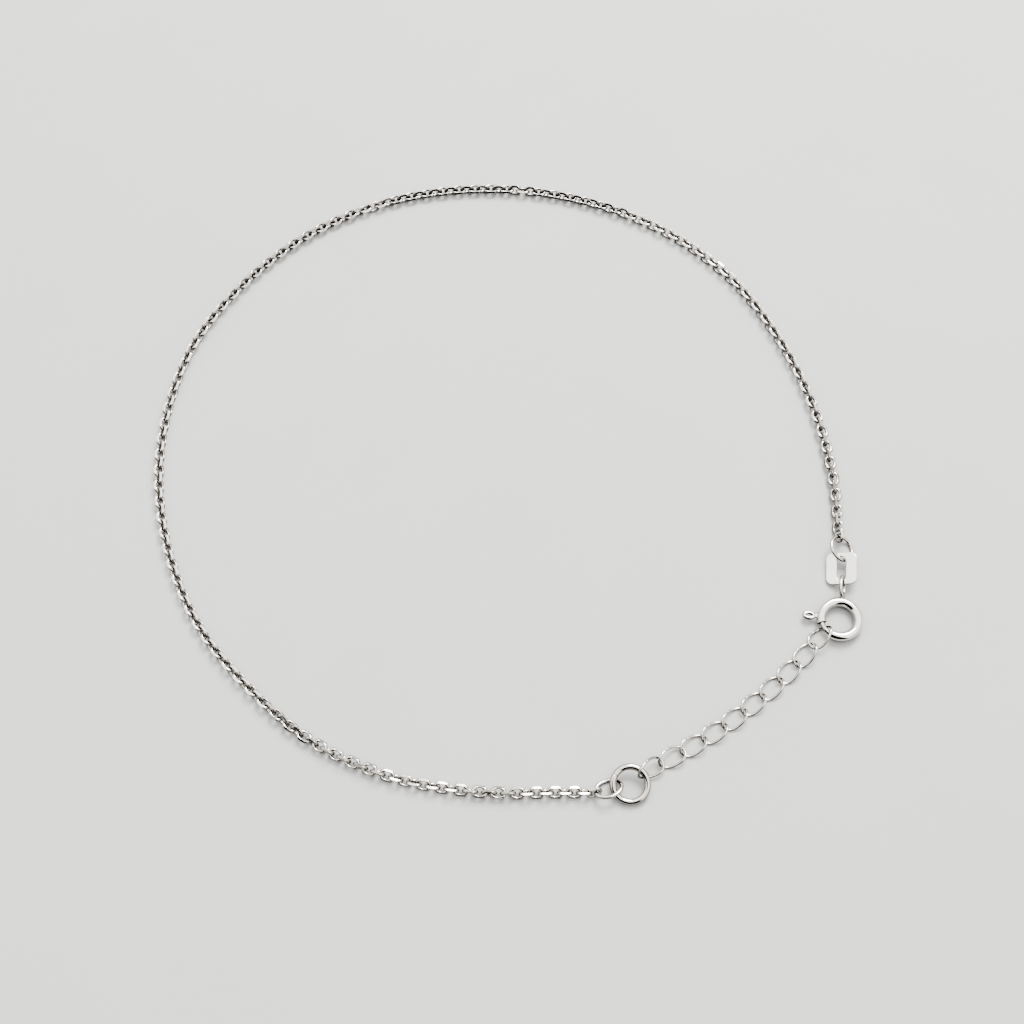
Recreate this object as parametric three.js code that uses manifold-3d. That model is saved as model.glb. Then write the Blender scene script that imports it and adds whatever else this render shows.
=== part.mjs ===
// Chain anklet in polished sterling silver, fastened and lying flat. Millimetres, +Z up.
//
// The loop runs from the spring ring clasp down its extension of open curb links to the end ring
// and the oval jump ring, then round the fine main chain to the round jump ring and the slotted
// tag that hangs in the clasp's bail. Every piece is placed from the one before it, starting at
// the clasp, and the main chain's route closes the loop.
import * as THREE from 'three';
import { mergeVertices } from 'three/addons/utils/BufferGeometryUtils.js';
import Module from 'manifold-3d';

const wasm = await Module();
wasm.setup();

// The laid loop's width and depth.
const LOOP_WIDTH = 85.8;
const LOOP_DEPTH = 85.5;

// Play along the chain where one link hooks the next, and what loose rings have beyond it.
const HOOK_PLAY = 0.14;
const LOOSE_PLAY = 0.25;
const SLACK_PLAY = 0.42;

// Main chain: fine flat links, here as the round bar that they fill, with its real last links.
const CHAIN_LINK_LENGTH = 1.85;
const CHAIN_LINK_WIDTH = 1.5;
const CHAIN_WIRE = 0.38;
const CHAIN_END_GAP = 0.15;
const CHAIN_STEPS = 72;
const CHAIN_SIDES = 8;
const LOWER_END_HEADING = 188;
const LOWER_END_ROLL = 118;
const UPPER_END_ROLL = 120;
const UPPER_END_LIFT = 0.23;

// The route of the main chain on the table, from its lower end clockwise to its upper end, in shares
// of the loop's width and depth. It bends with its ends, so that it still meets the rings if a piece
// between them changes its size.
const CHAIN_ROUTE = [
  [0.0983, -0.4816], [0.0484, -0.4784], [-0.0507, -0.4696], [-0.1719, -0.4380], [-0.2791, -0.3784],
  [-0.3631, -0.2953], [-0.4307, -0.2017], [-0.4738, -0.0906], [-0.4913, 0.0322], [-0.4784, 0.1491],
  [-0.4388, 0.2567], [-0.3654, 0.3515], [-0.2721, 0.4263], [-0.1626, 0.4743], [-0.0449, 0.4930],
  [0.0798, 0.4825], [0.1964, 0.4439], [0.3036, 0.3784], [0.3887, 0.2871], [0.4458, 0.1725],
  [0.4784, 0.0521], [0.4872, -0.0626], [0.4807, -0.1487],
];

// Oval jump ring between the main chain's lower end and the end ring.
const OVAL_LENGTH = 3.55;
const OVAL_WIDTH = 2.8;
const OVAL_WIRE = 0.44;
const OVAL_ROLL = 28;
const OVAL_PITCH = -2;
const OVAL_HEADING = 194.5;
const OVAL_STEP_HEADING = 186;

// End ring, the heavy ring that the extension hangs in.
const END_RING_OUTER = 4.75;
const END_RING_WIRE = 0.76;
const END_RING_PITCH = -2;
const END_RING_ROLL = 13;
const END_RING_HEIGHT = 0.89;
const END_RING_STEP_HEADING = 212.5;

// Extension: open curb links, each twisted like a saddle so that the row lies flat.
const EXT_LINKS = 10;
const EXT_LENGTH = 3.64;
const EXT_WIDTH = 2.35;
const EXT_WIRE = 0.3;
const EXT_TWIST = 0.42;
const EXT_FIRST_HEADING = 224.7;
const EXT_LAST_HEADING = 200;
const EXT_HOOK_HEADING = 216;

// Lean of the links next to the clasp and next to the end ring; those between lie level.
const EXT_LEAN = {
  1: { turn: -4, roll: -25, pitch: -2.5, lift: 0.25, play: 0.17, swing: 0 },
  2: { turn: 0, roll: -8, pitch: -6, lift: 0.1, play: HOOK_PLAY, swing: 0 },
  9: { turn: 0, roll: 15, pitch: 3, lift: 0.14, play: HOOK_PLAY, swing: 0 },
  10: { turn: 6, roll: 35, pitch: 11, lift: 0.52, play: HOOK_PLAY, swing: 2.5 },
};
const LEVEL = { turn: 0, roll: 0, pitch: 0, lift: 0, play: HOOK_PLAY, swing: 0 };

// Spring ring clasp: a hollow ring with a gap, closed by the tongue that slides inside it.
const CLASP_PLACE = [0.4613, -0.2724];
const CLASP_OUTER = 5.5;
const CLASP_TUBE = 1.14;
const CLASP_WALL = 0.17;
const CLASP_HEIGHT = 0.79;
const GAP_START = 186;
const GAP_END = 234;
const TONGUE_RUNNING_FIT = 0.14;
const TONGUE_SEAT = 6;
const TONGUE_TAIL = 10;
const LEVER_ANGLE = 167;
const LEVER_TRAVEL = 51;
const STEM_WIDTH = 0.36;
const STEM_HEIGHT = 0.34;
const STEM_FIT = 0.09;
const KNOB_LENGTH = 1.6;
const KNOB_WIDTH = 1.1;
const KNOB_WIRE = 0.45;

// Bail: the loop soldered upright on the clasp's rim, where the tag hangs.
const BAIL_LENGTH = 2.95;
const BAIL_WIDTH = 1.9;
const BAIL_WIRE = 0.42;
const BAIL_SINK = 0.14;
const BAIL_LEAN = 65;
const BAIL_ANGLE = 74;
const BAIL_HEADING = 80;

// Slotted tag, a flat plate with rounded corners.
const TAG_LENGTH = 4.0;
const TAG_WIDTH = 3.7;
const TAG_THICKNESS = 0.3;
const TAG_BAR = 0.5;
const TAG_SLOT_WIDTH = 1.1;
const TAG_CORNER = 0.85;
const TAG_ROLL = 22;
const TAG_PITCH = -4;
const TAG_HEIGHT = 1.02;
const TAG_HEADING = 80.5;
const TAG_STEP_HEADING = 84;

// Round jump ring between the tag and the main chain's upper end.
const JUMP_OUTER = 3.5;
const JUMP_WIRE = 0.4;
const JUMP_ROLL = 30;
const JUMP_STEP_HEADING = 80;
const JUMP_HEADING = 90;

const radians = THREE.MathUtils.degToRad;
const toward = (degrees, distance) =>
  new THREE.Vector3(Math.cos(radians(degrees)), Math.sin(radians(degrees)), 0).multiplyScalar(distance);

// A circular arc about the Z axis, from one angle to another.
class ArcPath extends THREE.Curve {
  constructor(radius, from, to) {
    super();
    this.radius = radius;
    this.from = radians(from);
    this.to = radians(to);
  }

  getPoint(t, target = new THREE.Vector3()) {
    const angle = THREE.MathUtils.lerp(this.from, this.to, t);
    return target.set(this.radius * Math.cos(angle), this.radius * Math.sin(angle), 0);
  }
}

function welded(geometry) {
  geometry.deleteAttribute('uv');
  geometry.deleteAttribute('normal');
  return mergeVertices(geometry, 1e-5);
}

function toSolid(geometry) {
  const merged = welded(geometry);
  return new wasm.Manifold(new wasm.Mesh({
    numProp: 3,
    vertProperties: new Float32Array(merged.attributes.position.array),
    triVerts: new Uint32Array(merged.index.array),
  }));
}

function toGeometry(solid) {
  const mesh = solid.getMesh();
  const geometry = new THREE.BufferGeometry();
  geometry.setAttribute('position', new THREE.BufferAttribute(mesh.vertProperties, 3));
  geometry.setIndex(new THREE.BufferAttribute(mesh.triVerts, 1));
  geometry.computeVertexNormals();
  return geometry;
}

function polishedSilver(roughness = 0.12) {
  return new THREE.MeshStandardMaterial({ color: 0xe9e6df, roughness, metalness: 1 });
}

function piece(name, geometry, material = polishedSilver()) {
  const mesh = new THREE.Mesh(geometry, material);
  mesh.name = name;
  return mesh;
}

// Lays a piece on its place: it leans about its own long axis, then tips, then turns in plan.
function lay(mesh, place, heading, roll = 0, pitch = 0) {
  mesh.position.copy(place);
  mesh.rotation.set(radians(roll), radians(pitch), radians(heading), 'ZYX');
  return mesh;
}

// A closed loop of wire, oval in plan along X: a torus bent onto the oval and twisted as a saddle.
function wireLoop(length, width, wire, twist = 0, around = 16, sides = 6) {
  const along = (length - wire) / 2;
  const across = (width - wire) / 2;
  const geometry = new THREE.TorusGeometry(1, wire / 2, sides, around);
  const place = geometry.attributes.position;
  for (let i = 0; i < place.count; i += 1) {
    const u = Math.atan2(place.getY(i), place.getX(i));
    const offset = Math.hypot(place.getX(i), place.getY(i)) - 1;
    const outward = new THREE.Vector2(Math.cos(u) / along, Math.sin(u) / across).setLength(offset);
    const x = along * Math.cos(u);
    const y = across * Math.sin(u);
    place.setXYZ(i, x + outward.x, y + outward.y, place.getZ(i) - twist * x * y);
  }
  return geometry;
}

function roundSection(radius, bore = 0) {
  const section = new THREE.Shape().absarc(0, 0, radius, 0, 2 * Math.PI);
  if (bore > 0) section.holes.push(new THREE.Path().absarc(0, 0, bore, 0, 2 * Math.PI, true));
  return section;
}

function swept(section, path, steps, sides) {
  return new THREE.ExtrudeGeometry(section, {
    steps, curveSegments: sides / 2, extrudePath: path, bevelEnabled: false,
  });
}

// How far the inner face of a loop's end lies from its centre, seen in plan.
const reach = (length, wire, pitch = 0) => (length / 2 - wire) * Math.cos(radians(pitch));

// A place given in shares of the loop's width and depth.
const inLoop = ([x, y], height) => new THREE.Vector3(x * LOOP_WIDTH, y * LOOP_DEPTH, height);

// Clasp: spring ring, its bail and the lever.
const clasp = inLoop(CLASP_PLACE, CLASP_HEIGHT);
const claspRadius = (CLASP_OUTER - CLASP_TUBE) / 2;
const boreRadius = CLASP_TUBE / 2 - CLASP_WALL;
const tongueRadius = boreRadius - TONGUE_RUNNING_FIT;
const bailHeight = BAIL_WIRE / 2 + ((BAIL_WIDTH - BAIL_WIRE) / 2) * Math.sin(radians(BAIL_LEAN)) + 0.02;
const bail = clasp.clone()
  .add(toward(BAIL_ANGLE, CLASP_OUTER / 2 - BAIL_SINK))
  .add(toward(BAIL_HEADING, BAIL_LENGTH / 2))
  .setZ(bailHeight);

// A curved block about the Z axis, for the slot that the lever's stem slides in.
function curvedBlock(inner, outer, from, to, height) {
  const plan = new THREE.Shape().absarc(0, 0, outer, radians(from), radians(to));
  plan.absarc(0, 0, inner, radians(to), radians(from), true);
  const block = new THREE.ExtrudeGeometry(plan, { depth: height, curveSegments: 8, bevelEnabled: false });
  block.translate(0, 0, -height / 2);
  return block;
}

function bailLoop() {
  const loop = wireLoop(BAIL_LENGTH, BAIL_WIDTH, BAIL_WIRE, 0, 16, 8);
  const offset = bail.clone().sub(clasp);
  const turn = new THREE.Euler(radians(BAIL_LEAN), 0, radians(BAIL_HEADING), 'ZYX');
  return loop.applyMatrix4(new THREE.Matrix4().makeRotationFromEuler(turn).setPosition(offset));
}

function claspRing() {
  const tube = swept(
    roundSection(CLASP_TUBE / 2, boreRadius), new ArcPath(claspRadius, GAP_END, GAP_START + 360), 30, 14,
  );
  const margin = THREE.MathUtils.radToDeg((STEM_WIDTH / 2 + STEM_FIT) / claspRadius);
  const slot = curvedBlock(
    claspRadius, CLASP_OUTER / 2 + CLASP_WALL,
    LEVER_ANGLE - LEVER_TRAVEL - margin, LEVER_ANGLE + margin, STEM_HEIGHT + 2 * STEM_FIT,
  );
  const solid = toSolid(tube).add(toSolid(bailLoop())).subtract(toSolid(slot));
  return lay(piece('clasp_ring', toGeometry(solid)), clasp, 0);
}

function claspLever() {
  const tongue = swept(
    roundSection(tongueRadius), new ArcPath(claspRadius, LEVER_ANGLE - TONGUE_TAIL, GAP_END + TONGUE_SEAT),
    14, 10,
  );
  const knobPlace = CLASP_OUTER / 2 + STEM_FIT + KNOB_LENGTH / 2;
  const stemLength = knobPlace - KNOB_LENGTH / 2 + KNOB_WIRE / 2 - claspRadius;
  const stem = new THREE.BoxGeometry(stemLength, STEM_WIDTH, STEM_HEIGHT);
  stem.translate(claspRadius + stemLength / 2, 0, 0);
  const knob = wireLoop(KNOB_LENGTH, KNOB_WIDTH, KNOB_WIRE, 0, 16, 8);
  knob.translate(knobPlace, 0, 0);
  const handle = toSolid(stem).add(toSolid(knob)).rotate([0, 0, LEVER_ANGLE]);
  return lay(piece('clasp_lever', toGeometry(toSolid(tongue).add(handle))), clasp, 0);
}

// Tag: it hangs in the bail by its lower bar.
const tag = bail.clone()
  .add(toward(TAG_STEP_HEADING, reach(BAIL_LENGTH, BAIL_WIRE) + TAG_LENGTH / 2 - TAG_BAR - LOOSE_PLAY))
  .setZ(TAG_HEIGHT);

function slottedTag() {
  const [endX, sideY] = [TAG_LENGTH / 2, TAG_WIDTH / 2];
  const [innerX, innerY] = [endX - TAG_CORNER, sideY - TAG_CORNER];
  const outline = new THREE.Shape();
  outline.absarc(innerX, innerY, TAG_CORNER, 0, Math.PI / 2);
  outline.absarc(-innerX, innerY, TAG_CORNER, Math.PI / 2, Math.PI);
  outline.absarc(-innerX, -innerY, TAG_CORNER, Math.PI, 1.5 * Math.PI);
  outline.absarc(innerX, -innerY, TAG_CORNER, 1.5 * Math.PI, 2 * Math.PI);
  const slotRadius = TAG_SLOT_WIDTH / 2;
  const slotX = endX - TAG_BAR - slotRadius;
  const slot = new THREE.Path();
  slot.absarc(slotX, 0, slotRadius, Math.PI / 2, -Math.PI / 2, true);
  slot.absarc(-slotX, 0, slotRadius, -Math.PI / 2, -1.5 * Math.PI, true);
  outline.holes.push(slot);
  const plate = new THREE.ExtrudeGeometry(outline, {
    depth: TAG_THICKNESS, curveSegments: 3, bevelEnabled: false,
  });
  plate.translate(0, 0, -TAG_THICKNESS / 2);
  return lay(piece('tag', welded(plate)), tag, TAG_HEADING, -TAG_ROLL, TAG_PITCH);
}

// Round jump ring: it leans so that it passes over one side of the tag and under the other.
const jumpHeight = JUMP_WIRE / 2 + ((JUMP_OUTER - JUMP_WIRE) / 2) * Math.sin(radians(JUMP_ROLL)) + 0.02;
const jump = tag.clone()
  .add(toward(JUMP_STEP_HEADING, TAG_LENGTH / 2 - TAG_BAR + reach(JUMP_OUTER, JUMP_WIRE) - LOOSE_PLAY))
  .setZ(jumpHeight);

function jumpRing() {
  const ring = wireLoop(JUMP_OUTER, JUMP_OUTER, JUMP_WIRE);
  return lay(piece('upper_jump_ring', welded(ring)), jump, JUMP_HEADING, JUMP_ROLL);
}

// Extension: each link hooks the one before it, and the headings turn evenly from first to last.
const extLevel = EXT_WIRE / 2 + (EXT_TWIST * (EXT_LENGTH - EXT_WIRE) * (EXT_WIDTH - EXT_WIRE)) / 8 + 0.01;
const extLean = (number) => EXT_LEAN[number] ?? LEVEL;
const extHeading = (number) =>
  THREE.MathUtils.mapLinear(number, 1, EXT_LINKS, EXT_FIRST_HEADING, EXT_LAST_HEADING);
const extPlaces = [];
for (let number = 1; number <= EXT_LINKS; number += 1) {
  const { pitch, lift, play, swing } = extLean(number);
  const here = reach(EXT_LENGTH, EXT_WIRE, pitch);
  const place = number === 1 ? clasp.clone() : extPlaces[number - 2].clone();
  if (number === 1) {
    place.add(toward(EXT_HOOK_HEADING, claspRadius - tongueRadius + here - play));
  } else {
    const before = reach(EXT_LENGTH, EXT_WIRE, extLean(number - 1).pitch);
    const step = (extHeading(number - 1) + extHeading(number)) / 2;
    place.add(toward(step + swing, before + here - play));
  }
  extPlaces.push(place.setZ(extLevel + lift));
}

function extensionLink(number) {
  const name = `extension_link_${String(number).padStart(2, '0')}`;
  const link = wireLoop(EXT_LENGTH, EXT_WIDTH, EXT_WIRE, EXT_TWIST);
  const { turn, roll, pitch } = extLean(number);
  const heading = extHeading(number) - 180 + turn;
  return lay(piece(name, welded(link)), extPlaces[number - 1], heading, roll, pitch);
}

// End ring: the last extension link hooks its upper right, the oval ring its left.
const lastReach = reach(EXT_LENGTH, EXT_WIRE, extLean(EXT_LINKS).pitch);
const endRing = extPlaces[EXT_LINKS - 1].clone()
  .add(toward(END_RING_STEP_HEADING, lastReach + reach(END_RING_OUTER, END_RING_WIRE) - HOOK_PLAY))
  .setZ(END_RING_HEIGHT);

function heavyRing() {
  const ring = wireLoop(END_RING_OUTER, END_RING_OUTER, END_RING_WIRE, 0, 16, 8);
  return lay(piece('end_ring', welded(ring)), endRing, 0, END_RING_ROLL, END_RING_PITCH);
}

// Oval jump ring: under the end ring on its far side and over it on its near side.
const ovalHeight = OVAL_WIRE / 2 + ((OVAL_WIDTH - OVAL_WIRE) / 2) * Math.sin(radians(OVAL_ROLL)) + 0.01;
const oval = endRing.clone()
  .add(toward(
    OVAL_STEP_HEADING, reach(END_RING_OUTER, END_RING_WIRE) + reach(OVAL_LENGTH, OVAL_WIRE) - SLACK_PLAY,
  ))
  .setZ(ovalHeight);

function ovalRing() {
  const ring = wireLoop(OVAL_LENGTH, OVAL_WIDTH, OVAL_WIRE);
  return lay(piece('lower_jump_ring', welded(ring)), oval, OVAL_HEADING, OVAL_ROLL, OVAL_PITCH);
}

// Main chain: a bar of the chain's width on its route, with its two last links soldered on.
const chainHeight = CHAIN_LINK_WIDTH / 2;
const chainReach = reach(CHAIN_LINK_LENGTH, CHAIN_WIRE);
const lowerEnd = oval.clone()
  .add(toward(LOWER_END_HEADING, reach(OVAL_LENGTH, OVAL_WIRE) + chainReach - HOOK_PLAY))
  .setZ(chainHeight);
const upperEnd = jump.clone()
  .add(toward(JUMP_HEADING, reach(JUMP_OUTER, JUMP_WIRE) + chainReach - HOOK_PLAY))
  .setZ(chainHeight + UPPER_END_LIFT);

function endLink(place, heading, roll) {
  const loop = wireLoop(CHAIN_LINK_LENGTH, CHAIN_LINK_WIDTH, CHAIN_WIRE, 0, 12, 6);
  const turn = new THREE.Euler(radians(roll), 0, radians(heading), 'ZYX');
  return toSolid(loop.applyMatrix4(new THREE.Matrix4().makeRotationFromEuler(turn).setPosition(place)));
}

function mainChain() {
  const drawn = CHAIN_ROUTE.map((share) => inLoop(share, chainHeight));
  const lowerShift = lowerEnd.clone().sub(drawn[0]).setZ(0);
  const upperShift = upperEnd.clone().sub(drawn.at(-1)).setZ(0);
  const route = drawn.map((place, i) =>
    place.add(lowerShift.clone().lerp(upperShift, i / (drawn.length - 1)))).slice(1, -1);
  const first = lowerEnd.clone().add(toward(LOWER_END_HEADING, CHAIN_END_GAP));
  const last = upperEnd.clone().add(toward(JUMP_HEADING, CHAIN_END_GAP)).setZ(chainHeight);
  const path = new THREE.CatmullRomCurve3([first, ...route, last]);
  const bar = swept(roundSection(CHAIN_LINK_WIDTH / 2), path, CHAIN_STEPS, CHAIN_SIDES);
  const solid = toSolid(bar)
    .add(endLink(lowerEnd, LOWER_END_HEADING, LOWER_END_ROLL))
    .add(endLink(upperEnd, JUMP_HEADING, UPPER_END_ROLL));
  return piece('main_chain', toGeometry(solid), polishedSilver(0.16));
}

const anklet = new THREE.Group();
anklet.add(claspRing(), claspLever(), slottedTag(), jumpRing());
for (let number = 1; number <= EXT_LINKS; number += 1) {
  anklet.add(extensionLink(number));
}
anklet.add(heavyRing(), ovalRing(), mainChain());

export default anklet;
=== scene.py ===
# Chain anklet in polished sterling silver, fastened as a closed loop and lying flat.
# Sizes are in millimetres and become metres where a mesh is made. X and Y are the surface, Z is up.
import math

import bpy
import numpy as np
from mathutils import Euler, Matrix, Vector


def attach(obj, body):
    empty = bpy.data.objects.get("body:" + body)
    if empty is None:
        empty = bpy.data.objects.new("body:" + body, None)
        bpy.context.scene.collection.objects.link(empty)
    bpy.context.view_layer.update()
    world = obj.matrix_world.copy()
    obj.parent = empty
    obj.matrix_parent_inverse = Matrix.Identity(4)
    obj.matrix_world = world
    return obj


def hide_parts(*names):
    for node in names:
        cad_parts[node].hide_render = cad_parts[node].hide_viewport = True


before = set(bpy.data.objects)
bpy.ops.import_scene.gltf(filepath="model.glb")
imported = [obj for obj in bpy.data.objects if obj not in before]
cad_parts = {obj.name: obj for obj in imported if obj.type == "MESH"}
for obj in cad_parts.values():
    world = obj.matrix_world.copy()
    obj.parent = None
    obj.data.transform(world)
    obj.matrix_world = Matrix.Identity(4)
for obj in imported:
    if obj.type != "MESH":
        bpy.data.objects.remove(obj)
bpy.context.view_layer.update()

# ---------------------------------------------------------------------------------------------
# Main chain: fine oval links of sterling silver wire, each hooked through the next at a quarter
# turn. The finished chain was stretched and filed along four sides, so every link has flat facets
# at 45 degrees to its own plane, outside its two long bows.
MM = 0.001
CHAIN_LINKS = 201
LINK_LENGTH, LINK_WIDTH, LINK_WIRE = 1.95, 1.7, 0.43
LINK_AROUND, LINK_SIDES = 26, 14
FILE_DEPTH = 0.51                      # from the chain's axis out to a filed facet

# The chain's two hooked ends and its route between them, the same as the solid chain's.
CHAIN_LOWER_END, CHAIN_UPPER_END = (8.404, -41.263), (41.248, -12.721)
LOWER_END_HEADING, UPPER_END_HEADING = 188.0, 90.0
LOWER_END_ROLL, UPPER_END_ROLL = 118.0, 120.0
LOWER_END_HEIGHT, UPPER_END_HEIGHT = 0.75, 0.98
CHAIN_ROUTE = [
    (4.15, -40.90), (-4.35, -40.15), (-14.75, -37.45), (-23.95, -32.35), (-31.15, -25.25),
    (-36.95, -17.25), (-40.65, -7.75), (-42.15, 2.75), (-41.05, 12.75), (-37.65, 21.95),
    (-31.35, 30.05), (-23.35, 36.45), (-13.95, 40.55), (-3.85, 42.15), (6.85, 41.25),
    (16.85, 37.95), (26.05, 32.35), (33.35, 24.55), (38.25, 14.75), (41.05, 4.45), (41.80, -5.35),
]

# How far the chain is twisted about its own length, in degrees, at a distance along it in mm.
CHAIN_TWIST = [
    (0, -30), (8, -32), (11, -5), (13, -4), (15, -30), (22, -38), (27, -8), (31, -20), (36, 20),
    (45, 38), (60, 45), (75, 45), (85, 50), (98, 70), (106, 84), (115, 90), (124, 90), (126, 60),
    (129, 88), (144, 92), (147, 60), (150, 90), (157, 80), (165, 62), (176, 50), (196, 65),
    (208, 95), (219, 120),
]


def catmull_rom(points, spacing=0.02):
    """A centripetal Catmull-Rom curve through the points: its places and the distance to each."""
    knots = [2 * np.array(points[0]) - points[1], *points, 2 * np.array(points[-1]) - points[-2]]
    knots = [np.array(knot, float) for knot in knots]
    places = []
    for a, b, c, d in zip(knots, knots[1:], knots[2:], knots[3:]):
        ta = 0.0
        tb = ta + np.linalg.norm(b - a) ** 0.5
        tc = tb + np.linalg.norm(c - b) ** 0.5
        td = tc + np.linalg.norm(d - c) ** 0.5
        t = np.linspace(tb, tc, int(np.linalg.norm(c - b) / spacing), endpoint=False)[:, None]
        ab = (tb - t) / (tb - ta) * a + (t - ta) / (tb - ta) * b
        bc = (tc - t) / (tc - tb) * b + (t - tb) / (tc - tb) * c
        cd = (td - t) / (td - tc) * c + (t - tc) / (td - tc) * d
        abc = (tc - t) / (tc - ta) * ab + (t - ta) / (tc - ta) * bc
        bcd = (td - t) / (td - tb) * bc + (t - tb) / (td - tb) * cd
        places.append((tc - t) / (tc - tb) * abc + (t - tb) / (tc - tb) * bcd)
    places = np.vstack([*places, knots[-2]])
    return places, np.r_[0, np.cumsum(np.linalg.norm(np.diff(places, axis=0), axis=1))]


# Along a wire loop, in radians: how far the rows at a soldered joint reach to each side, how many
# they are, and the spread of the joint's hollow.
SEAM_REACH, SEAM_ROWS, SEAM_SPREAD = 0.06, 9, 0.02


def wire_loop(length, width, wire, around, sides, twist=0.0, seam=None, swell=None):
    """Places on a closed loop of round wire, oval along X, twisted as a saddle: (around, sides, 3).
    seam is a soldered joint's angle and depth, swell a thick place's angle, size and spread."""
    angles = np.linspace(0, 2 * math.pi, around, endpoint=False)
    if seam:
        angles = np.unique(np.r_[angles, seam[0] + np.linspace(-SEAM_REACH, SEAM_REACH, SEAM_ROWS)])
    u, v = np.meshgrid(angles, np.linspace(0, 2 * math.pi, sides, endpoint=False), indexing="ij")
    along, across, radius = (length - wire) / 2, (width - wire) / 2, np.full_like(u, wire / 2)
    if seam:
        radius *= 1 - seam[1] * np.exp(-(((u - seam[0]) / SEAM_SPREAD) ** 2))
    if swell:
        away = (u - swell[0] + math.pi) % (2 * math.pi) - math.pi
        radius *= 1 + swell[1] * np.exp(-((away / swell[2]) ** 2))
    nx, ny = np.cos(u) / along, np.sin(u) / across
    size = np.hypot(nx, ny)
    x, y = along * np.cos(u), across * np.sin(u)
    offset = radius * np.cos(v)
    z = radius * np.sin(v) - twist * x * y
    return np.stack([x + nx / size * offset, y + ny / size * offset, z], -1)


def filed(points, depth):
    """The loop filed flat on four planes at 45 degrees, and which of its points lie on them. A point
    outside a plane moves square onto it, and one past the edge between two planes onto the edge."""
    x, y, z = points[..., 0], points[..., 1], points[..., 2]
    cut = np.maximum((np.abs(y) + np.abs(z)) / 2 - depth / math.sqrt(2), 0)
    past_edge = np.maximum(cut - np.abs(z), 0)
    y_left, z_left = np.abs(y) - cut - past_edge, np.maximum(np.abs(z) - cut, 0)
    return np.stack([x, np.sign(y) * y_left, np.sign(z) * z_left], -1), cut > 0


def laid(points, place, heading, roll=0.0, pitch=0.0):
    """The points laid on their place: they lean about the long axis, tip, then turn in plan."""
    turn = Euler([math.radians(angle) for angle in (roll, pitch, heading)], "XYZ").to_matrix()
    return points @ np.array(turn).T + np.array(place)


def grid_faces(rows, columns, closed_rows=True):
    """Quads of a grid of points whose columns close on themselves, and whose rows may."""
    faces = []
    for row in range(rows if closed_rows else rows - 1):
        for column in range(columns):
            after, beside = (row + 1) % rows, (column + 1) % columns
            faces.append((row * columns + column, after * columns + column,
                          after * columns + beside, row * columns + beside))
    return faces


def new_piece(name, points, faces, material, smooth=None):
    """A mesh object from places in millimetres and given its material."""
    mesh = bpy.data.meshes.new(name)
    mesh.from_pydata((np.reshape(points, (-1, 3)) * MM).tolist(), [], faces)
    mesh.polygons.foreach_set("use_smooth", [True] * len(faces) if smooth is None else smooth)
    mesh.materials.append(material)
    piece = bpy.data.objects.new(name, mesh)
    bpy.context.collection.objects.link(piece)
    return piece


def linear(hex_colour):
    """An sRGB hex colour as the linear RGBA that a shader socket takes."""
    parts = [int(hex_colour[i:i + 2], 16) / 255 for i in (0, 2, 4)]
    return [p / 12.92 if p <= 0.04045 else ((p + 0.055) / 1.055) ** 2.4 for p in parts] + [1.0]


def add_node(tree, kind, settings=(), links=()):
    """Adds one node: settings are its properties or socket values, links the outputs that feed it."""
    node = tree.nodes.new(kind)
    for key, value in dict(settings).items():
        if isinstance(key, int) or key in node.inputs:
            node.inputs[key].default_value = value
        else:
            setattr(node, key, value)
    for key, output in dict(links).items():
        tree.links.new(output, node.inputs[key])
    return node


# Painted shade and dark reflection on the silver's sides and undersides, and the height of the surface's
# normal where it begins and where it covers all: fine wire stays bright on its tops alone, wide smooth metal
# further down the sides.
PAINTED_SHADE_COLOUR = "171310"
FINE_WIRE_SHADE_HEIGHTS, WIDE_METAL_SHADE_HEIGHTS = (1.0, 0.3), (0.68, 0.0)

# The noise values where a patch of tarnish begins and where it is full, how far the polish goes
# below and above its mean roughness, and the scratches' stretch and direction.
PATCH_BEGINS, PATCH_FULL = 0.42, 0.75
POLISH_BEST, POLISH_WORST = 0.6, 1.5
SCRATCH_STRETCH, SCRATCH_TURN = (1.0, 0.14, 1.0), (0.3, 0.2, 0.7)


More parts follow.
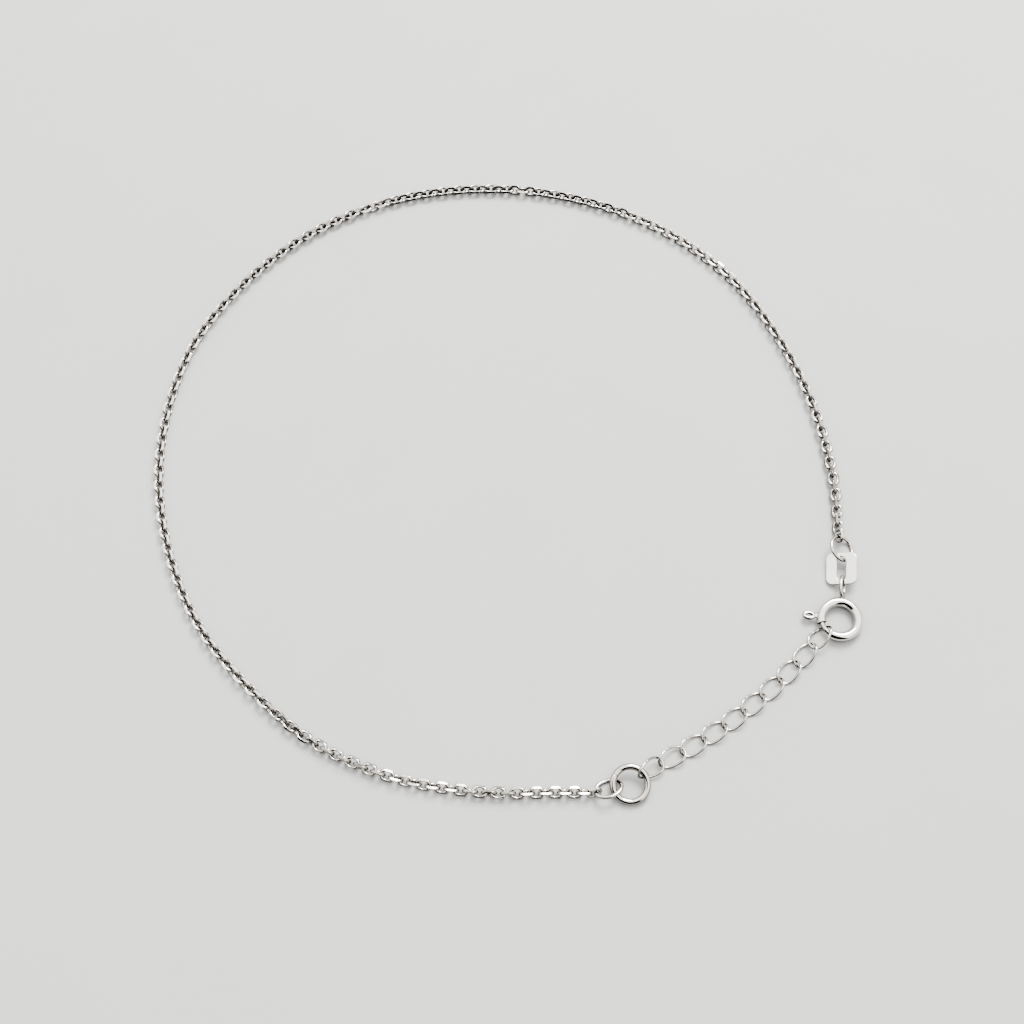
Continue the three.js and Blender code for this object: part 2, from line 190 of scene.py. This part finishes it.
def silver(name, bright, toned, roughness, tone_mm, polish_mm, scratch_mm, scratch_depth_mm, painted_shade_heights):
    """Polished sterling silver: patches of faint tarnish, an uneven polish and fine scratches. The sides
    and undersides are painted brown black by how far the surface faces down, as painted shade and dark
    reflection."""
    material = bpy.data.materials.new(name)
    material.use_nodes = True
    tree = material.node_tree
    tree.nodes.clear()
    place = add_node(tree, "ShaderNodeTexCoord").outputs["Object"]
    tone = add_node(tree, "ShaderNodeTexNoise", {"Scale": 1 / (tone_mm * MM), "Detail": 3.0},
                    {"Vector": place})
    patches = add_node(tree, "ShaderNodeMapRange", {"From Min": PATCH_BEGINS, "From Max": PATCH_FULL},
                       {"Value": tone.outputs["Fac"]})
    colour = add_node(tree, "ShaderNodeMix", {"data_type": "RGBA", 6: linear(bright), 7: linear(toned)},
                      {0: patches.outputs["Result"]})
    surface = add_node(tree, "ShaderNodeNewGeometry")
    facing = add_node(tree, "ShaderNodeSeparateXYZ", (), {"Vector": surface.outputs["Normal"]})
    # Painted shade and dark reflection: the less the surface faces up, the more of the dark colour.
    painted_shade_amount = add_node(tree, "ShaderNodeMapRange",
                          {"From Min": painted_shade_heights[0], "From Max": painted_shade_heights[1]},
                          {"Value": facing.outputs["Z"]})
    colour = add_node(tree, "ShaderNodeMix", {"data_type": "RGBA", 7: linear(PAINTED_SHADE_COLOUR)},
                      {0: painted_shade_amount.outputs["Result"], 6: colour.outputs[2]})
    polish = add_node(tree, "ShaderNodeTexNoise", {"Scale": 1 / (polish_mm * MM), "Detail": 4.0},
                      {"Vector": place})
    gloss = add_node(tree, "ShaderNodeMapRange",
                     {"To Min": roughness * POLISH_BEST, "To Max": roughness * POLISH_WORST},
                     {"Value": polish.outputs["Fac"]})
    stretch = add_node(tree, "ShaderNodeMapping", {"Scale": SCRATCH_STRETCH, "Rotation": SCRATCH_TURN},
                       {"Vector": place})
    scratch = add_node(tree, "ShaderNodeTexNoise", {"Scale": 1 / (scratch_mm * MM), "Detail": 2.0},
                       {"Vector": stretch.outputs["Vector"]})
    relief = add_node(tree, "ShaderNodeBump", {"Strength": 1.0, "Distance": scratch_depth_mm * MM},
                      {"Height": scratch.outputs["Fac"]})
    metal = add_node(tree, "ShaderNodeBsdfPrincipled", {"Metallic": 1.0},
                     {"Base Color": colour.outputs[2], "Roughness": gloss.outputs["Result"],
                      "Normal": relief.outputs["Normal"]})
    add_node(tree, "ShaderNodeOutputMaterial", (), {"Surface": metal.outputs["BSDF"]})
    return material


# Filed sterling silver: the file leaves mirror-flat facets; the sides and undersides carry painted shade.
filed_silver = silver("filed sterling silver", bright="ebe6de", toned="c9bfae", roughness=0.10,
                      tone_mm=0.9, polish_mm=0.5, scratch_mm=0.05,
                      scratch_depth_mm=0.0012, painted_shade_heights=FINE_WIRE_SHADE_HEIGHTS)

chain_places, chain_distances = catmull_rom([CHAIN_LOWER_END, *CHAIN_ROUTE, CHAIN_UPPER_END])
link_points, on_facet = filed(
    wire_loop(LINK_LENGTH, LINK_WIDTH, LINK_WIRE, LINK_AROUND, LINK_SIDES), FILE_DEPTH)
link_faces = np.array(grid_faces(LINK_AROUND, LINK_SIDES))
link_smooth = ~on_facet.reshape(-1)[link_faces].all(axis=1)
corner = FILE_DEPTH * math.sqrt(2)      # from the chain's axis out to the edge between two facets
HEADING_REACH = 0.4                     # a link's heading is that of the route this far to each side

chain_points = []
for number in range(CHAIN_LINKS):
    distance = number / (CHAIN_LINKS - 1) * chain_distances[-1]
    x, y, x_behind, y_behind, x_ahead, y_ahead = [
        np.interp(distance + step, chain_distances, chain_places[:, axis])
        for step in (0, -HEADING_REACH, HEADING_REACH) for axis in (0, 1)
    ]
    heading = math.degrees(math.atan2(y_ahead - y_behind, x_ahead - x_behind))
    twist = np.interp(distance, *np.transpose(CHAIN_TWIST))
    roll = twist + 90 * (number % 2)
    lean = math.radians(twist)
    height = corner * max(abs(math.sin(lean)), abs(math.cos(lean)))
    if number == 0:
        heading, roll, height = LOWER_END_HEADING, LOWER_END_ROLL, LOWER_END_HEIGHT
    if number == CHAIN_LINKS - 1:
        heading, roll, height = UPPER_END_HEADING, UPPER_END_ROLL, UPPER_END_HEIGHT
    chain_points.append(laid(link_points.reshape(-1, 3), (x, y, height), heading, roll))
points_per_link = LINK_AROUND * LINK_SIDES
chain_faces = np.vstack([link_faces + number * points_per_link for number in range(CHAIN_LINKS)])
chain = new_piece("main_chain_links", np.vstack(chain_points), chain_faces.tolist(), filed_silver,
                  np.tile(link_smooth, CHAIN_LINKS))
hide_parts("main_chain")
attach(chain, "anklet")

# ---------------------------------------------------------------------------------------------
# End ring and the two jump rings: round silver wire bent on a mandrel, sawn to a ring and its butt
# joint soldered. The end ring is heavy wire and catches the extension, the oval ring joins it to
# the main chain, and the fine round ring joins the chain's other end to the tag.
RINGS = [
    # name, solid, length, width, wire, place, heading, roll, pitch, joint's angle
    ("end_ring_wire", "end_ring", 4.75, 4.75, 0.76, (12.643, -40.757, 0.890), 0.0, 13.0, -2.0, 143),
    ("oval_ring_wire", "lower_jump_ring", 3.55, 2.8, 0.44, (10.127, -41.021, 0.784), 194.5, 28.0, -2.0, 250),
    ("round_ring_wire", "upper_jump_ring", 3.5, 3.5, 0.4, (41.248, -14.476, 0.995), 90.0, 30.0, 0.0, 300),
]
RING_AROUND, RING_SIDES = 96, 28
JOINT_DEPTH = 0.09                     # of the wire's radius

# Drawn silver wire, tumbled bright: drawing leaves it smooth and tumbling gives an even mirror.
wire_silver = silver("tumbled sterling silver wire", bright="efebe3", toned="d3c9b8", roughness=0.07,
                     tone_mm=1.6, polish_mm=0.8, scratch_mm=0.06,
                     scratch_depth_mm=0.0008, painted_shade_heights=FINE_WIRE_SHADE_HEIGHTS)

for name, solid, length, width, wire, place, heading, roll, pitch, joint in RINGS:
    points = wire_loop(length, width, wire, RING_AROUND, RING_SIDES,
                       seam=(math.radians(joint), JOINT_DEPTH))
    ring = new_piece(name, laid(points, place, heading, roll, pitch), grid_faces(*points.shape[:2]),
                     wire_silver)
    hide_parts(solid)
    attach(ring, "anklet")

# ---------------------------------------------------------------------------------------------
# Extension: open curb links of round silver wire, each bent like a saddle so that the row lies
# flat. The clasp can catch any of them, which sets how long the anklet is worn.
EXT_LENGTH, EXT_WIDTH, EXT_WIRE, EXT_TWIST = 3.64, 2.35, 0.3, 0.42
EXT_AROUND, EXT_SIDES, EXT_JOINT = 72, 20, 95.0
EXTENSION = [
    # place, heading, roll, pitch
    ((36.935, -25.211, 0.770), 40.700, -25.0, -2.5),
    ((34.833, -27.195, 0.620), 41.956, -8.0, -6.0),
    ((32.637, -29.076, 0.520), 39.211, 0.0, 0.0),
    ((30.346, -30.855, 0.520), 36.467, 0.0, 0.0),
    ((27.974, -32.522, 0.520), 33.722, 0.0, 0.0),
    ((25.524, -34.074, 0.520), 30.978, 0.0, 0.0),
    ((23.002, -35.507, 0.520), 28.233, 0.0, 0.0),
    ((20.415, -36.817, 0.520), 25.489, 0.0, 0.0),
    ((17.770, -38.001, 0.660), 22.744, 15.0, 3.0),
    ((15.146, -39.162, 1.040), 26.000, 35.0, 11.0),
]

for number, (place, heading, roll, pitch) in enumerate(EXTENSION, 1):
    points = wire_loop(EXT_LENGTH, EXT_WIDTH, EXT_WIRE, EXT_AROUND, EXT_SIDES, EXT_TWIST,
                       seam=(math.radians(EXT_JOINT), JOINT_DEPTH))
    link = new_piece(f"curb_link_{number:02d}", laid(points, place, heading, roll, pitch),
                     grid_faces(*points.shape[:2]), wire_silver)
    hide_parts(f"extension_link_{number:02d}")
    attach(link, "anklet")

# ---------------------------------------------------------------------------------------------
# Clasp ring: thin silver tube drawn to a ring, with an open mouth that the extension hooks into
# and a slot on its outside for the lever. Its bail, a small loop of wire, is soldered on the rim.
CLASP_PLACE = (39.580, -23.290, 0.79)
CLASP_RADIUS, TUBE_RADIUS, TUBE_WALL = 2.18, 0.57, 0.17
MOUTH_START, MOUTH_END = 186.0, 234.0
SLOT_START, SLOT_END, SLOT_HEIGHT = 108.9, 174.1, 0.26
MOUTH_ROUNDING, ROUNDING_STEPS, SHARP_ANGLE = 0.035, 3, 50.0
BAIL_LENGTH, BAIL_WIDTH, BAIL_WIRE = 2.95, 1.9, 0.42
BAIL_AROUND, BAIL_SIDES = 72, 22
BAIL_PLACE, BAIL_HEADING, BAIL_LEAN = (40.555, -19.329, 0.901), 80.0, 65.0
SOLDER_SWELL, SOLDER_SPREAD = 0.28, 0.5

# The tube's grid: points round the tube and across its slot, and rows from the mouth round to the
# slot, along the slot, and on to the mouth. The slack is less than a row's step, in degrees.
TUBE_SIDES, SLOT_SIDES = 31, 7
BACK_ROWS, SLOT_ROWS, FRONT_ROWS = 70, 24, 7
ROW_SLACK = 0.01


def tube_along(radius, tube, angles, rounds):
    """Places round a tube bent to a circle about Z, a row for each angle, all in radians."""
    u, v = np.meshgrid(angles, rounds, indexing="ij")
    out = radius + tube * np.cos(v)
    return np.stack([out * np.cos(u), out * np.sin(u), tube * np.sin(v)], -1)


# Rolled silver tube, buffed on a wheel: a soft mirror with the wheel's faint marks.
tube_silver = silver("buffed sterling silver tube", bright="f4f1eb", toned="dcd4c6", roughness=0.08,
                     tone_mm=2.2, polish_mm=0.9, scratch_mm=0.09,
                     scratch_depth_mm=0.0012, painted_shade_heights=WIDE_METAL_SHADE_HEIGHTS)

# The tube's bore and the cut rims of its mouth and slot, painted nearly black as the shade inside the tube.
bore_painted_dark = silver("silver bore painted dark for shade", bright="2e2924", toned="14110f", roughness=0.45,
                     tone_mm=0.5, polish_mm=0.3, scratch_mm=0.1,
                     scratch_depth_mm=0.002, painted_shade_heights=WIDE_METAL_SHADE_HEIGHTS)

slot_edge = math.asin(SLOT_HEIGHT / TUBE_RADIUS)
rounds = np.r_[np.linspace(slot_edge, 2 * math.pi - slot_edge, TUBE_SIDES),
               np.linspace(-slot_edge, slot_edge, SLOT_SIDES)[1:-1] + 2 * math.pi]
angles = np.radians(np.unique(np.r_[np.linspace(MOUTH_END, SLOT_START + 360, BACK_ROWS),
                                    np.linspace(SLOT_START, SLOT_END, SLOT_ROWS) + 360,
                                    np.linspace(SLOT_END, MOUTH_START, FRONT_ROWS) + 360]))
points = tube_along(CLASP_RADIUS, TUBE_RADIUS, angles, rounds)
faces = np.array(grid_faces(*points.shape[:2], closed_rows=False))
turned = np.degrees(angles)[faces.min(axis=1) // len(rounds)] - 360
beside = faces % len(rounds)
in_slot = (turned > SLOT_START - ROW_SLACK) & (turned < SLOT_END - ROW_SLACK)
in_slot &= ((beside >= TUBE_SIDES - 1) | (beside == 0)).all(axis=1)
shell = new_piece("clasp_tube", laid(points, CLASP_PLACE, 0.0), faces[~in_slot].tolist(),
                  tube_silver)
shell.data.materials.append(bore_painted_dark)
wall = shell.modifiers.new("tube wall", "SOLIDIFY")
wall.thickness, wall.offset, wall.use_even_offset = TUBE_WALL * MM, -1.0, True
# The inner faces and the cut rims take the second material, the bore's painted shade.
wall.material_offset, wall.material_offset_rim = 1, 1
edge = shell.modifiers.new("rounded mouth", "BEVEL")
edge.width, edge.segments = MOUTH_ROUNDING * MM, ROUNDING_STEPS
edge.limit_method, edge.angle_limit = "ANGLE", math.radians(SHARP_ANGLE)
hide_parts("clasp_ring")
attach(shell, "anklet")

points = wire_loop(BAIL_LENGTH, BAIL_WIDTH, BAIL_WIRE, BAIL_AROUND, BAIL_SIDES,
                   swell=(math.pi, SOLDER_SWELL, SOLDER_SPREAD))
bail = new_piece("clasp_bail", laid(points, BAIL_PLACE, BAIL_HEADING, BAIL_LEAN),
                 grid_faces(*points.shape[:2]), wire_silver)
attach(bail, "anklet")

# ---------------------------------------------------------------------------------------------
# Clasp lever: a curved silver tongue that slides in the tube and closes its mouth, pushed home by
# a hidden spring, with a stem out through the slot to a small eye that a finger nail pulls.
TONGUE_RADIUS, TONGUE_FROM, TONGUE_TO = 0.26, 157.0, 240.0
TONGUE_ROWS, TONGUE_SIDES = 40, 24
LEVER_ANGLE = 167.0
STEM_WIDTH, STEM_HEIGHT, STEM_ROUNDING = 0.36, 0.34, 0.05
KNOB_LENGTH, KNOB_WIDTH, KNOB_WIRE, KNOB_REACH = 1.6, 1.1, 0.45, 3.64
KNOB_AROUND, KNOB_SIDES = 48, 20

# Cast silver, polished by hand: a little less even than wire.
cast_silver = silver("hand polished cast silver", bright="e9e4db", toned="c6bcab", roughness=0.11,
                     tone_mm=0.8, polish_mm=0.4, scratch_mm=0.07,
                     scratch_depth_mm=0.0018, painted_shade_heights=FINE_WIRE_SHADE_HEIGHTS)

angles = np.radians(np.linspace(TONGUE_FROM, TONGUE_TO, TONGUE_ROWS))
rounds = np.linspace(0, 2 * math.pi, TONGUE_SIDES, endpoint=False)
points = tube_along(CLASP_RADIUS, TONGUE_RADIUS, angles, rounds)
last_row = (TONGUE_ROWS - 1) * TONGUE_SIDES
faces = grid_faces(TONGUE_ROWS, TONGUE_SIDES, closed_rows=False)
faces += [tuple(range(TONGUE_SIDES)), tuple(range(last_row + TONGUE_SIDES - 1, last_row - 1, -1))]
tongue = new_piece("clasp_tongue", laid(points, CLASP_PLACE, 0.0), faces, cast_silver,
                   [len(face) == 4 for face in faces])
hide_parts("clasp_lever")
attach(tongue, "lever")

stem_length = KNOB_REACH - KNOB_LENGTH / 2 + KNOB_WIRE / 2 - CLASP_RADIUS
corners = np.array([(x, y, z) for x in (0, stem_length) for y in (-0.5, 0.5) for z in (-0.5, 0.5)])
corners = corners * (1, STEM_WIDTH, STEM_HEIGHT) + (CLASP_RADIUS, 0, 0)
stem_faces = [(0, 1, 3, 2), (4, 6, 7, 5), (0, 4, 5, 1), (2, 3, 7, 6), (0, 2, 6, 4), (1, 5, 7, 3)]
stem = new_piece("lever_stem", laid(corners, CLASP_PLACE, LEVER_ANGLE), stem_faces, cast_silver,
                 [False] * len(stem_faces))
edge = stem.modifiers.new("rounded edges", "BEVEL")
edge.width, edge.segments = STEM_ROUNDING * MM, ROUNDING_STEPS
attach(stem, "lever")

points = wire_loop(KNOB_LENGTH, KNOB_WIDTH, KNOB_WIRE, KNOB_AROUND, KNOB_SIDES) + (KNOB_REACH, 0, 0)
knob = new_piece("lever_eye", laid(points, CLASP_PLACE, LEVER_ANGLE),
                 grid_faces(*points.shape[:2]), cast_silver)
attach(knob, "lever")

# ---------------------------------------------------------------------------------------------
# Tag: a plate stamped from silver sheet with rounded corners and a long slot, its edges tumbled
# round. It hangs in the clasp's bail and carries the chain's jump ring. Its faces are left bare.
TAG_LENGTH, TAG_WIDTH, TAG_THICKNESS = 4.0, 3.7, 0.3
TAG_BAR, TAG_SLOT_WIDTH, TAG_CORNER, TAG_EDGE = 0.5, 1.1, 0.85, 0.07
TAG_PLACE, TAG_HEADING, TAG_ROLL, TAG_PITCH = (40.796, -17.036, 1.02), 80.5, -22.0, -4.0
TAG_EDGE_STEPS, TAG_CORNER_STEPS, TAG_SHARP_ANGLE = 3, 9, 40.0
SLOT_END_FLAT = 0.001                  # between the slot's end corners, so that no points coincide

# Rolled silver sheet: flat and bright, with long faint marks from the roller and the polishing.
sheet_silver = silver("rolled sterling silver sheet", bright="f8f6f2", toned="e6e0d6", roughness=0.10,
                      tone_mm=2.5, polish_mm=1.1, scratch_mm=0.08,
                      scratch_depth_mm=0.0010, painted_shade_heights=WIDE_METAL_SHADE_HEIGHTS)


def rounded_outline(length, width, radius):
    """The points of a rectangle with round corners, in order."""
    outline = []
    for turn, (sx, sy) in enumerate([(1, 1), (-1, 1), (-1, -1), (1, -1)]):
        for angle in np.linspace(0, math.pi / 2, TAG_CORNER_STEPS) + turn * math.pi / 2:
            outline.append((sx * (length / 2 - radius) + radius * math.cos(angle),
                            sy * (width / 2 - radius) + radius * math.sin(angle)))
    return outline


plate = bpy.data.curves.new("tag_plate", "CURVE")
plate.dimensions, plate.fill_mode = "2D", "BOTH"
plate.extrude, plate.bevel_depth = (TAG_THICKNESS / 2 - TAG_EDGE) * MM, TAG_EDGE * MM
plate.bevel_resolution = TAG_EDGE_STEPS
for outline in (
    rounded_outline(TAG_LENGTH - 2 * TAG_EDGE, TAG_WIDTH - 2 * TAG_EDGE, TAG_CORNER - TAG_EDGE),
    rounded_outline(TAG_LENGTH - 2 * TAG_BAR + 2 * TAG_EDGE, TAG_SLOT_WIDTH + 2 * TAG_EDGE,
                    TAG_SLOT_WIDTH / 2 + TAG_EDGE - SLOT_END_FLAT),
):
    spline = plate.splines.new("POLY")
    spline.points.add(len(outline) - 1)
    for point, (x, y) in zip(spline.points, outline):
        point.co = (x * MM, y * MM, 0, 1)
    spline.use_cyclic_u = True
curve = bpy.data.objects.new("tag_outline", plate)
bpy.context.collection.objects.link(curve)
bpy.context.view_layer.update()
pressed = bpy.data.meshes.new_from_object(curve.evaluated_get(bpy.context.evaluated_depsgraph_get()))
bpy.data.objects.remove(curve)
points = np.array([vertex.co for vertex in pressed.vertices]) / MM
faces = [tuple(polygon.vertices) for polygon in pressed.polygons]
tag = new_piece("tag_plate", laid(points, TAG_PLACE, TAG_HEADING, TAG_ROLL, TAG_PITCH), faces,
                sheet_silver)
tag.data.set_sharp_from_angle(angle=math.radians(TAG_SHARP_ANGLE))
bpy.data.meshes.remove(pressed)
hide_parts("tag")
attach(tag, "anklet")

# ---------------------------------------------------------------------------------------------
# The surface that the anklet lies on: plain pale matt board, a touch warm, with a fine tooth.
BOARD_SIZE = 3.0
BOARD_COLOUR, BOARD_SHADE = "c1c1bf", "bcbcb9"
BOARD_MOTTLE_MM = 14.0
BOARD_TOOTH_MM, BOARD_TOOTH_DEPTH_MM, BOARD_TOOTH_STRENGTH = 0.35, 0.01, 0.3
BOARD_ROUGHNESS, BOARD_SHEEN = 0.9, 0.2

board_mesh = bpy.data.meshes.new("board")
half = BOARD_SIZE / 2
board_corners = [(-half, -half, 0), (half, -half, 0), (half, half, 0), (-half, half, 0)]
board_mesh.from_pydata(board_corners, [], [(0, 1, 2, 3)])
board = bpy.data.objects.new("board", board_mesh)
bpy.context.collection.objects.link(board)
paper = bpy.data.materials.new("matt pale board")
paper.use_nodes = True
tree = paper.node_tree
tree.nodes.clear()
place = add_node(tree, "ShaderNodeTexCoord").outputs["Object"]
mottle = add_node(tree, "ShaderNodeTexNoise", {"Scale": 1 / (BOARD_MOTTLE_MM * MM)}, {"Vector": place})
colour = add_node(tree, "ShaderNodeMix",
                  {"data_type": "RGBA", 6: linear(BOARD_COLOUR), 7: linear(BOARD_SHADE)},
                  {0: mottle.outputs["Fac"]})
tooth = add_node(tree, "ShaderNodeTexNoise", {"Scale": 1 / (BOARD_TOOTH_MM * MM)}, {"Vector": place})
relief = add_node(tree, "ShaderNodeBump",
                  {"Strength": BOARD_TOOTH_STRENGTH, "Distance": BOARD_TOOTH_DEPTH_MM * MM},
                  {"Height": tooth.outputs["Fac"]})
surface = add_node(tree, "ShaderNodeBsdfPrincipled",
                   {"Roughness": BOARD_ROUGHNESS, "Specular IOR Level": BOARD_SHEEN},
                   {"Base Color": colour.outputs[2], "Normal": relief.outputs["Normal"]})
add_node(tree, "ShaderNodeOutputMaterial", (), {"Surface": surface.outputs["BSDF"]})
board_mesh.materials.append(paper)

# ---------------------------------------------------------------------------------------------
# Soft studio light: a room with a white ceiling and walls that go down to brown grey, a dark
# backdrop at the near left side, and one soft lamp high on the far right.
ROOM_STRENGTH = 3.5
CEILING_COLOUR, WALL_COLOUR, BACKDROP_COLOUR = "ffffff", "6e645a", "020202"
WALL_FROM, CEILING_FROM = 0.05, 0.8    # heights in the room: the wall's colour alone, white alone
LAMP_PLACE, LAMP_SIZE, LAMP_POWER = (0.15, 0.3, 0.4), 0.25, 7.0

# The backdrop's left, right and top edges, each a plane through the anklet that faces into it.
BACKDROP_EDGES = [(0.45, -0.89, 0.2), (-1.0, -0.52, -0.107), (-0.64, -1.77, -0.4)]
EDGE_SOFTNESS = 0.05

room = bpy.data.worlds.new("studio room")
bpy.context.scene.world = room
room.use_nodes = True
tree = room.node_tree
tree.nodes.clear()
toward = add_node(tree, "ShaderNodeTexCoord").outputs["Generated"]
axes = add_node(tree, "ShaderNodeSeparateXYZ", (), {"Vector": toward})
ceiling_share = add_node(tree, "ShaderNodeMapRange", {"From Min": WALL_FROM, "From Max": CEILING_FROM},
                         {"Value": axes.outputs["Z"]})
pale = add_node(tree, "ShaderNodeMix",
                {"data_type": "RGBA", 6: linear(WALL_COLOUR), 7: linear(CEILING_COLOUR)},
                {0: ceiling_share.outputs["Result"]})
depths = []
for facing in BACKDROP_EDGES:
    depth = add_node(tree, "ShaderNodeVectorMath", {"operation": "DOT_PRODUCT", 1: facing}, {0: toward})
    depths.append(depth.outputs["Value"])
between = add_node(tree, "ShaderNodeMath", {"operation": "MINIMUM"}, {0: depths[0], 1: depths[1]})
inside = add_node(tree, "ShaderNodeMath", {"operation": "MINIMUM"}, {0: between.outputs[0], 1: depths[2]})
backdrop = add_node(tree, "ShaderNodeMapRange", {"From Min": -EDGE_SOFTNESS, "From Max": EDGE_SOFTNESS},
                    {"Value": inside.outputs[0]})
colour = add_node(tree, "ShaderNodeMix", {"data_type": "RGBA", 7: linear(BACKDROP_COLOUR)},
                  {0: backdrop.outputs["Result"], 6: pale.outputs[2]})
glow = add_node(tree, "ShaderNodeBackground", {"Strength": ROOM_STRENGTH}, {"Color": colour.outputs[2]})
add_node(tree, "ShaderNodeOutputWorld", (), {"Surface": glow.outputs["Background"]})

lamp = bpy.data.lights.new("soft lamp", "AREA")
lamp.size, lamp.energy = LAMP_SIZE, LAMP_POWER
lamp_object = bpy.data.objects.new("soft lamp", lamp)
bpy.context.collection.objects.link(lamp_object)
lamp_object.location = LAMP_PLACE
lamp_object.rotation_euler = (-Vector(LAMP_PLACE)).to_track_quat("-Z", "Y").to_euler()

# ---------------------------------------------------------------------------------------------
# Camera: above the near side, looking down at the loop, a little turned.
CAMERA_TARGET, CAMERA_DISTANCE = (1.84, -5.6, 0.0), 178.7
CAMERA_ELEVATION, CAMERA_TURN = 67.4, -4.9
CAMERA_LENS, CAMERA_SENSOR, CAMERA_NEAREST = 50.625, 36.0, 0.01

camera = bpy.data.cameras.new("camera")
camera.lens, camera.sensor_width, camera.clip_start = CAMERA_LENS, CAMERA_SENSOR, CAMERA_NEAREST
viewer = bpy.data.objects.new("camera", camera)
bpy.context.collection.objects.link(viewer)
elevation = math.radians(CAMERA_ELEVATION)
back = Vector((0, -math.cos(elevation), math.sin(elevation)))
viewer.matrix_world = (
    Matrix.Translation((Vector(CAMERA_TARGET) + back * CAMERA_DISTANCE) * MM)
    @ back.to_track_quat("Z", "Y").to_matrix().to_4x4()
    @ Matrix.Rotation(math.radians(CAMERA_TURN), 4, "Z")
)
bpy.context.scene.camera = viewer
